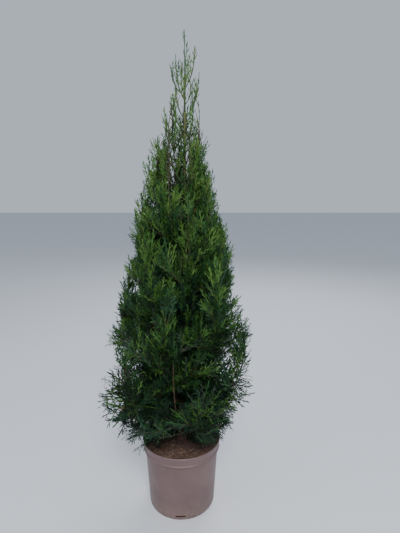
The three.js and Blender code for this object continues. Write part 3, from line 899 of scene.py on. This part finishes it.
def golden_side(tangent, n, key, draw):
    """The line square to a limb on which its shoot n stands, by the golden angle."""
    across, over = side_lines(tangent)
    turn = math.radians(n * GOLDEN_ANGLE + 360 * chance(key, draw))
    return across * math.cos(turn) + over * math.sin(turn)


def twisted(face, axis, degrees, draw):
    """A fan's face turned about its axis by up to so many degrees either way."""
    return Matrix.Rotation(math.radians(mix(-degrees, degrees, draw)), 3, axis) @ face


def grow_spray(root, along, face, length, seed, narrow):
    """One flat spray from its root, shortened until it keeps to the crown, or left out."""
    upright = height_share(root.z)
    rise = mix(*SPRAY_RISE, upright)
    if not narrow:
        depth = crown_depth(root)
        if chance(seed, 25) < SPREADING_SHARE:
            rise = mix(rise, min(rise, SPREADING_RISE), ramp(depth, 0.55, 0.25))
        bare = (root.z - THINNING_HEIGHT) / (PLANT_TOP - THINNING_HEIGHT)
        thin = bare * mix(*THINNING, clamp(2 * depth))
        if chance(seed, 21) < thin or depth < 0.3 and chance(seed, 22) < 0.45:
            return
        high = root.z > drawn(*WHIP_HEIGHT, seed, 19)
        narrow = high or depth > EDGE_SHARE and chance(seed, 24) < 0.5
    along = (along + UP * rise).normalized()
    side = face.cross(along).normalized()
    sag = UP * mix(*SPRAY_SAG, upright) * drawn(0.4, 1.5, seed, 5)
    if root.z < OPEN_HEIGHT:
        aside = clamp(max((root.x - OPEN_RIGHT) / OPEN_FADE, (-root.x - OPEN_LEFT) / OPEN_FADE))
        if chance(seed, 23) < aside * 0.65:
            return
        narrow = narrow or chance(seed, 26) < aside * 0.75
        length *= mix(1, 1.3, aside)
    spare = (WHIP_SPARE if narrow else SPARE) * mix(1, 0.2, ramp(root.z, *CLOSE_TOP)) - bays(root)
    for fit in SPRAY_FITS:
        size = length * fit
        tip = root + (along + sag) * size
        middle = root + along * size * 0.45
        width = side * size * 0.32
        if in_crown(tip, spare) and in_crown(middle + width, spare) and in_crown(middle - width, spare):
            sprays.append((root, along, side, sag, size, seed, narrow))
            return


def grow_twig(root, along, face, length, seed, lean):
    """One twig with its sprays set left and right, and one at its tip."""
    side = face.cross(along).normalized()
    line = [root]
    heading = along.copy()
    for n in range(TWIG_STEPS):
        heading = (heading + lean * 0.09 + side * drawn(-0.06, 0.06, seed, 20 + n)).normalized()
        line.append(line[-1] + heading * (length / TWIG_STEPS))
    while len(line) > 2 and not in_crown(line[-1], -0.006):
        line.pop()
    if not in_crown(line[-1], 0):
        return
    radii = [mix(*TWIG_RADII, n / (len(line) - 1)) for n in range(len(line))]
    twig_parts.append(tube(line, radii, 3, None))
    reach = length * (len(line) - 1) / TWIG_STEPS
    count = max(2, round(reach / SPRAY_PITCH))
    for n in range(count):
        share = (n + 0.6) / count
        place = share * (len(line) - 1)
        low = int(place)
        spot = line[low].lerp(line[low + 1], place - low)
        heading = (line[low + 1] - line[low]).normalized()
        hand = 1 if n % 2 else -1
        jitter = drawn(-0.28, 0.28, seed, 40 + n)
        swing = drawn(0.50, 0.82, seed, 60 + n) * hand
        toward = (heading * 0.8 + side * swing + face * jitter).normalized()
        tilt = twisted(face, toward, 85, chance(seed, 80 + n))
        size = mix(*SPRAY_LENGTH, height_share(spot.z)) * mix(1.05, 0.72, share)
        grow_spray(spot, toward, tilt, size * drawn(0.85, 1.12, seed, 100 + n), seed * 31 + n, False)
    size = mix(*SPRAY_LENGTH, height_share(line[-1].z))
    grow_spray(line[-1], (line[-1] - line[-2]).normalized(), face, size, seed * 31 + 29, False)


def way_tangent(way, t):
    """The direction of growth at share t of a limb's line."""
    return ((way[1] - way[0]) * (1 - t) + (way[2] - way[1]) * t).normalized()


def side_way(key, way, n):
    """The line of a side stem that leaves a plume's stem to one hand of it."""
    foot, _, tip, out = way
    t = mix(*SIDE_STEM_SPAN, (n + 0.6 * chance(key, 24 + n)) / SIDE_STEMS)
    spot = on_way(way, t)
    tangent = way_tangent(way, t)
    hand = 1 if (n + key) % 2 else -1
    across = Vector((-out.y, out.x, 0)) * hand
    along = (tangent + across * drawn(0.55, 1.0, key * 7 + n, 27) + UP * 0.1).normalized()
    length = (tip - foot).length * mix(*SIDE_STEM_LENGTH, t)
    while length > 0.03 and not in_crown(spot + along * length, -0.010):
        length -= 0.008
    shoulder = spot + (tangent * 0.32 + along * 0.2) * length
    return spot, shoulder, spot + along * length, out


def grow_plume(key, way, pitch, first, radius):
    """A plume: its stem, and twigs round it by the golden angle."""
    tip, out = way[2:]
    length = sum((on_way(way, (n + 1) / 20) - on_way(way, n / 20)).length for n in range(20))
    twig_parts.append(stem_tube(way, (radius, STEM_TIP_RADIUS), STEM_STEPS, STEM_SIDES, STEM_TAPER, None))
    count = max(4, round(length * (1 - first) / pitch))
    for n in range(count):
        seed = key * 40 + n
        t = mix(first, 0.985, (n + 0.5) / count)
        spot = on_way(way, t)
        tangent = way_tangent(way, t)
        around = golden_side(tangent, n, key, 7)
        high = height_share(spot.z)
        along = tangent * drawn(0.75, 1.15, seed, 8) + around * mix(0.9, 0.66, high)
        along = (along + UP * mix(0.05, 0.50, high)).normalized()
        outward = Vector((spot.x, spot.y, 0)).normalized()
        fan_side = outward - along * outward.dot(along)
        if fan_side.length < 0.2:
            fan_side = around - along * around.dot(along)
        fan_side.normalize()
        face = twisted(along.cross(fan_side).normalized(), along, 45, chance(seed, 9))
        size = mix(*TWIG_LENGTH, high) * mix(1.05, 0.7, t) * drawn(0.8, 1.15, seed, 10)
        lean = UP * mix(-0.3, 0.8, high) + outward * mix(0.9, 0.1, high)
        grow_twig(spot, along, face, size, seed, lean)
    last = way_tangent(way, 1)
    face = last.cross(Vector((out.y, -out.x, 0))).normalized()
    size = mix(*SPRAY_LENGTH, height_share(tip.z))
    for n in range(3):
        swung = Matrix.Rotation(math.radians((n - 1) * 24), 3, face)
        grow_spray(tip, swung @ last, face, size, key * 977 + n, False)


def grow_whip(key, way, radius, side_whips):
    """A thin top shoot with short side shoots, all clad in close-pressed leaves."""
    green_parts.append(stem_tube(way, (radius, WHIP_TIP_RADIUS), WHIP_STEPS, STEM_SIDES, 1, None))
    for n in range(side_whips):
        share = (n + 0.5) / side_whips
        t = mix(0.10, 0.80, share)
        tangent = way_tangent(way, t)
        around = golden_side(tangent, n, key, 11)
        along = (tangent + around * drawn(0.35, 0.60, key * 9 + n, 12) + UP * 0.2).normalized()
        face = along.cross(around).normalized()
        grow_spray(on_way(way, t), along, face, mix(*WHIP_SPRAY_LENGTH, share), key * 613 + n, True)
    tangent = way_tangent(way, 0.7)
    grow_spray(on_way(way, 0.7), tangent, side_lines(tangent)[0], 0.045, key * 619, True)


def grow_from_trunk(key, count, low, high, crowding, reach):
    """Short twigs straight from the trunk, which close the heart of the crown."""
    for n in range(count):
        seed = key * 50 + n
        z = mix(low, high, (n / count) ** crowding)
        turn = math.radians(n * GOLDEN_ANGLE + 360 * chance(key, 15))
        out = Vector((math.cos(turn), math.sin(turn), 0))
        climb = mix(0.25, 1.3, height_share(z)) * drawn(0.7, 1.4, seed, 16)
        climb -= 0.45 * ramp(z, 0.26, -0.06) * chance(seed, 19)
        along = (out + UP * climb).normalized()
        face = along.cross(Vector((-out.y, out.x, 0))).normalized()
        face = twisted(face, along, 80, chance(seed, 17))
        size = min(reach, crown_radius(z, turn) * 0.75) * drawn(0.7, 1.1, seed, 18)
        grow_twig(trunk_axis(z), along, face, size, key * 700 + n, UP * 0.2)


for i in range(PLUMES):
    first = 0.14 if i < BOUGHS else 0.10
    grow_plume(i, plume_way(i), TWIG_PITCH, first, STEM_RADIUS * mix(1, 0.7, i / PLUMES))
for i in range(INNERS):
    grow_plume(PLUMES + i, inner_way(i), INNER_TWIG_PITCH, 0.2, STEM_RADIUS * 0.8)
for i in range(PLUMES):
    for n in range(SIDE_STEMS):
        key = 100 + i * SIDE_STEMS + n
        grow_plume(key, side_way(i, plume_way(i), n), TWIG_PITCH, 0.12, STEM_RADIUS * 0.6)
for group in TRUNK_TWIGS:
    grow_from_trunk(*group)
for i in range(SHOOTS):
    grow_whip(PLUMES + INNERS + i, shoot_way(i), SHOOT_WHIP_RADIUS, 4)
grow_whip(PLUMES + INNERS + SHOOTS, leader_way(), SHOOT_WHIP_RADIUS, 3)
for i in range(TOP_WHIPS):
    start = mix(*TOP_WHIP_STARTS, (i / TOP_WHIPS) ** 1.25)
    turn = math.radians(35 + i * GOLDEN_ANGLE)
    tip_height = min(start + drawn(*TOP_WHIP_RISE, i, 28), drawn(*TOP_WHIP_TIPS, i, 31))
    reach = drawn(0.65, 1.0, i, 29)
    grow_whip(70 + i, limb_way(start, turn, reach, tip_height, 0.4), WHIP_RADIUS, 3)

twigs = thin_wood("twigs", joined(twig_parts), "twig_wood", 0.7, (TWIG_WOOD, TWIG_GREEN), 25, 1200)
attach(twigs, "root")

green_tones = (STEM_GREEN, STEM_GREEN_DARK)
green_shape = joined(green_parts)
green_stems = thin_wood("green_top_stems", green_shape, "green_stem", 0.6, green_tones, 60, 1200)
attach(green_stems, "root")

# Foliage: flat sprays of scale leaves, each a midrib with alternate side
# shoots that carry short fingers. Opaque green blades of a few faces, dealt
# out by spray into shades from the dark heart to the yellow-green tips. The
# shades are mostly painted light and shade: painted shade darkens the sprays
# deep in the crown and at its foot, and painted light lightens those at the
# outline and the top, whose yellow-green is partly the young growth's own.
PIECE_TRIANGLES = 190000
LIGHT_RISE = (0.30, 0.45)
TIP_SHADE_HEIGHT = (0.95, 1.02)
HIGH_TIPS = 0.80
DRY_SHARE = 0.012
DRY_DEPTH = 0.6
CORE_DEPTH = (0.42, 0.12)
CORE_FADE = (0.74, 0.16)
SHADE_CONTRAST = (0.62, 0.45)
FOOT_SHADE = 0.14
FOOT_SHADE_FADE = (0.36, -0.10)
FRESH_LIGHT = 1.02
LIGHT_STEPS = [(0.66, "upper"), (0.36, "mid"), (0.08, "low")]
# Painted light and shade, partly: darker and lighter tones of each green, mixed in a random speckle that
# stands in for the light and shade between the fingers as well as uneven tone.
LEAF_TONES = (0.55, 1.5)
# Painted light and shade by spray: core and deep are painted shade in the crown's heart; low, mid and
# upper are steps of painted light; the lightest shade and the tip shade are painted light on the outer and
# top sprays, partly the young growth's own yellow-green; dry is the brown of dead sprays.
SHADES = {
    "core": (0.006, 0.017, 0.008),
    "deep": (0.007, 0.019, 0.009),
    "low": (0.010, 0.037, 0.016),
    "mid": (0.017, 0.059, 0.014),
    "upper": (0.042, 0.104, 0.017),
    "lit_young": (0.070, 0.142, 0.027),
    "tip": (0.075, 0.120, 0.024),
    "dry": (0.110, 0.045, 0.014),
}

# Patterns of a spray: how many, the first one's draw, side shoots, their reach
# and width as shares of the spray's length, and their spread in degrees. Whips
# and fingers are measured in the same shares.
PATTERNS = {
    "fan": (8, 0, 8, 0.32, 0.050, 31),
    "lace": (8, 40, 7, 0.37, 0.048, 50),
    "core": (4, 80, 5, 0.38, 0.078, 50),
}
WHIP_KINDS = 5
WHIP_SHOOTS = 4
WHIP_WIDTH = 0.056
FINGERED = 0.24
FINGER_LENGTH = 0.045
BLADE_FACES = [(0, 1, 4), (0, 4, 2), (1, 3, 4), (4, 3, 2)]
FINGER_FACES = [(0, 1, 2), (0, 2, 3)]


def directions(angle, slope):
    """The heading of a blade in its spray's plane, and the line across it."""
    heading = Vector((math.sin(angle), math.cos(angle), slope))
    return heading, Vector((heading.y, -heading.x, 0))


def cupped(points, cup):
    """Points of a blade, moved to a cupped or arched spray."""
    for point in points:
        point.z += cup * point.x * point.x
    return points


def blade(root, angle, slope, length, width, turn_in, cup):
    """A narrow ridged blade of four faces, bent a little towards the spray's tip."""
    heading, across = directions(angle, slope)
    ahead = Vector((math.sin(angle + turn_in), math.cos(angle + turn_in), slope * 0.5))
    waist = root + heading * length * 0.45
    edges = [waist + across * width / 2, waist - across * width / 2]
    ridge = [waist + ahead * length * 0.55, waist + Vector((0, 0, width * 0.35))]
    return cupped([root] + edges + ridge, cup), BLADE_FACES


def finger(root, angle, slope, length, width, cup):
    """A short blade of two faces, folded along its middle."""
    heading, across = directions(angle, slope)
    waist = root + heading * length * 0.5
    fold = Vector((0, 0, -width * 0.22))
    edges = [waist + across * width / 2 + fold, waist - across * width / 2 + fold]
    return cupped([root, edges[0], root + heading * length, edges[1]], cup), FINGER_FACES


def midrib(wide, narrow, bow):
    """The spray's ridged middle, in two lengths."""
    points = []
    faces = []
    for n in range(3):
        y = n / 2 * 0.93
        half = mix(wide, narrow, n / 2) / 2
        x = bow * math.sin(y * math.pi)
        points.extend([Vector((x - half, y, 0)), Vector((x, y, half)), Vector((x + half, y, 0))])
    for low in (0, 1, 3, 4):
        faces.extend([(low, low + 1, low + 4), (low, low + 4, low + 3)])
    return points, faces


def one_block(parts):
    """Parts of a spray as one array of points and one of faces."""
    points, faces = joined(parts)
    return np.array([tuple(point) for point in points]), np.array(faces)


def fan_shape(kind, shoots, reach, wide, spread):
    """One kind of spray, a unit long, in the plane of X and Y."""
    bow = drawn(-0.03, 0.03, kind, 301)
    cup = drawn(-0.5, 0.4, kind, 302)
    parts = [midrib(wide * 0.75, wide * 0.5, bow)]
    for n in range(shoots):
        share = n / (shoots - 1)
        draw = kind * 20 + n
        hand = 1 if n % 2 else -1
        y = mix(0.12, 0.86, share)
        root = Vector((bow * math.sin(y * math.pi), y, 0))
        outline = min(1, 0.62 + share / 0.5) * (1 - share) ** 0.5 + 0.25
        length = reach * outline * drawn(0.75, 1.2, draw, 303)
        angle = hand * math.radians(mix(spread, spread - 18, share) + drawn(-8, 8, draw, 304))
        turn_in = -hand * math.radians(drawn(6, 22, draw, 305))
        slope = drawn(-0.6, 0.6, draw, 308)
        parts.append(blade(root, angle, slope, length, wide, turn_in, cup))
        heading = directions(angle, slope)[0]
        fingers = 2 if length > FINGERED else 1
        for k in range(fingers):
            draw = kind * 90 + n * 5 + k
            along = mix(0.36, 0.68, k / max(fingers - 1, 1))
            turned = angle + turn_in * max(0, along - 0.45) * 1.6
            spot = root + heading * length * along
            side = -hand if k % 2 == 0 else hand
            swing = side * math.radians(drawn(0.75, 1.05, draw, 306) * spread)
            size = length * mix(0.60, 0.36, along) * drawn(0.8, 1.25, draw, 307) + FINGER_LENGTH
            tilt = slope + drawn(-0.5, 0.5, draw, 309)
            parts.append(finger(spot, turned + swing, tilt, size, wide * 0.88, cup))
    parts.append(blade(Vector((0, 0.86, 0)), 0, 0, 0.16, wide, 0.1, cup))
    return one_block(parts)


def whip_shape(kind):
    """A narrow spray that forks into a few slim shoots close to its midrib."""
    parts = [midrib(WHIP_WIDTH, 0.8 * WHIP_WIDTH, 0.02)]
    for n in range(WHIP_SHOOTS):
        share = n / (WHIP_SHOOTS - 1)
        draw = kind * 20 + n
        hand = 1 if (n + kind) % 2 else -1
        angle = hand * math.radians(mix(36, 25, share) + drawn(-7, 7, draw, 311))
        size = mix(0.44, 0.24, share) * drawn(0.6, 1.2, draw, 312)
        root = Vector((0.02 * math.sin(share * math.pi), mix(0.14, 0.74, share), 0))
        slope = drawn(-0.3, 0.3, draw, 313)
        parts.append(blade(root, angle, slope, size, WHIP_WIDTH, -hand * 0.15, 0))
    parts.append(blade(Vector((0, 0.84, 0)), 0, 0, 0.18, WHIP_WIDTH, 0, 0))
    return one_block(parts)


def shade_of(root, seed):
    """The painted light and shade of one spray, from its place in the crown and the seeded rule: darker
    deep in the crown and at its foot, lighter at the outline and the top, or the brown of a dry spray.
    """
    depth = crown_depth(root)
    high = ramp(root.z, *LIGHT_RISE)
    draw = chance(seed, 6)
    if root.z > mix(*TIP_SHADE_HEIGHT, draw):
        return "tip" if draw < 0.3 else "upper" if draw < 0.6 else "mid"
    if draw < DRY_SHARE and depth < DRY_DEPTH:
        return "dry"
    # Painted shade: the crown's heart is painted darkest.
    if depth < mix(*CORE_DEPTH, ramp(root.z, *CORE_FADE)):
        return "core" if draw < 0.65 else "low"
    contrast = mix(*SHADE_CONTRAST, high)
    # Painted light: lighter at the outline and up the crown, with a seeded spread; below it, painted shade
    # darkens the crown's foot.
    light = depth * 0.45 + mix(-0.12, 0.45, high) + mix(-contrast, contrast, draw)
    light -= FOOT_SHADE * ramp(root.z, *FOOT_SHADE_FADE)
    # Painted highlight on the lightest outer and top sprays, partly the young growth's own yellow-green.
    if light > FRESH_LIGHT:
        return "lit_young"
    if root.z > HIGH_TIPS and draw < 0.12:
        return "tip"
    for least, shade in LIGHT_STEPS:
        if light > least:
            return shade
    return "deep"


patterns = {"whip": [whip_shape(n) for n in range(WHIP_KINDS)]}
for name, (count, first, *sizes) in PATTERNS.items():
    patterns[name] = [fan_shape(first + n, *sizes) for n in range(count)]
dealt = {name: [] for name in SHADES}
for spray in sprays:
    dealt[shade_of(spray[0], spray[5])].append(spray)


def stamped(shade, members):
    """All sprays of one shade set in place, as one run of points and faces."""
    all_points = []
    all_faces = []
    start = 0
    for root, along, side, sag, size, seed, narrow in members:
        kind = "fan" if chance(seed, 30) < height_share(root.z) else "lace"
        if shade == "core":
            kind = "core"
        elif narrow:
            kind = "whip"
        points, faces = patterns[kind][int(chance(seed, 13) * len(patterns[kind]))]
        normal = side.cross(along)
        hand = 1 if chance(seed, 14) < 0.5 else -1
        axes = np.array([tuple(side * hand), tuple(along), tuple(normal)]) * size
        bend = np.outer(points[:, 1] ** 2, np.array(sag) * size)
        all_points.append(points @ axes + np.array(root) + bend)
        all_faces.append(faces + start)
        start += len(points)
    return all_points, all_faces


def leaf_finish(name, colour):
    """A green in soft random patches of darker and lighter tone, partly painted light and shade between
    the fingers, with a faint sheen.
    """
    material, tree, shader = new_finish(name, 0.6)
    shader.inputs["Specular IOR Level"].default_value = 0.25
    mottle = placed_effect(tree, MOTTLE, {"Patch Size": 130, "Grain Size": 1400})
    # Painted light and shade, partly: the speckle of dark and light green.
    dark, light = [[part * tone for part in colour] + [1] for tone in LEAF_TONES]
    green = colour_mix(tree, mottle["Patches"], dark, light)
    sheen = ranged(tree, mottle["Grain"], 0.42, 0.66)
    feed(tree, shader, {"Base Color": green, "Roughness": sheen})
    bumped(tree, shader, mottle["Grain"], 0.25, 0.0006)
    return material


masses = [f"foliage_{i + 1:02d}" for i in range(PLUMES + INNERS)]
masses += [f"shoot_{i + 1:02d}" for i in range(SHOOTS)] + ["leader"]
for shade, members in dealt.items():
    finish = leaf_finish(f"{shade}_green", SHADES[shade])
    shade_points, shade_faces = stamped(shade, members)
    total = sum(len(faces) for faces in shade_faces)
    parts = math.ceil(total / PIECE_TRIANGLES)
    for n in range(parts):
        chosen = slice(len(members) * n // parts, len(members) * (n + 1) // parts)
        first = shade_faces[chosen.start].min()
        faces = np.concatenate(shade_faces[chosen]) - first
        piece = piece_from_arrays(f"sprays_{shade}_{n + 1}", np.concatenate(shade_points[chosen]), faces)
        piece.data.materials.append(finish)
        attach(piece, "root")
        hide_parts(*masses)

# Studio: a plain pale floor, soft light from above on every side with the
# main light to the front, and the camera at the height and slope from which
# the plant was photographed.
CAMERA_PLACE = (0.048, -0.950, 0.811)
CAMERA_SLOPE = math.radians(79.23)
CAMERA_LENS = 27.02
SENSOR_WIDTH = 36
FLOOR_REACH = 14
FLOOR_GREY = (0.60, 0.62, 0.66, 1)
SKY_COLOUR = (0.72, 0.80, 0.90, 1)
SKY_STRENGTH = 0.7
LIGHT_AIM = Vector((0, 0, 0.5))
STUDIO_LIGHTS = [
    ("key_light", (0.3, -2.2, 2.4), 0.9, 92),
    ("fill_light", (-1.9, -1.3, 1.7), 1.4, 8),
    ("back_light", (0.7, 2.1, 2.3), 1.6, 40),
]
floor_corners = [(x * FLOOR_REACH, y * FLOOR_REACH, 0) for x, y in ((-1, -1), (1, -1), (1, 1), (-1, 1))]
floor = piece_from_arrays("floor", floor_corners, [(0, 1, 2, 3)])
floor_finish, tree, shader = new_finish("pale_floor", 0.8)
shader.inputs["Base Color"].default_value = FLOOR_GREY
floor.data.materials.append(floor_finish)
for name, place, size, power in STUDIO_LIGHTS:
    lamp = bpy.data.lights.new(name, "AREA")
    lamp.size = size
    lamp.energy = power
    light = new_piece(name, lamp)
    light.location = place
    light.rotation_euler = (LIGHT_AIM - Vector(place)).to_track_quat("-Z", "Y").to_euler()
world = bpy.data.worlds.new("soft_studio")
world.use_nodes = True
sky = world.node_tree.nodes["Background"]
sky.inputs["Color"].default_value = SKY_COLOUR
sky.inputs["Strength"].default_value = SKY_STRENGTH
bpy.context.scene.world = world
camera_lens = bpy.data.cameras.new("camera")
camera_lens.lens = CAMERA_LENS
camera_lens.sensor_width = SENSOR_WIDTH
camera = new_piece("camera", camera_lens)
camera.location = CAMERA_PLACE
camera.rotation_euler = (CAMERA_SLOPE, 0, 0)
bpy.context.scene.camera = camera
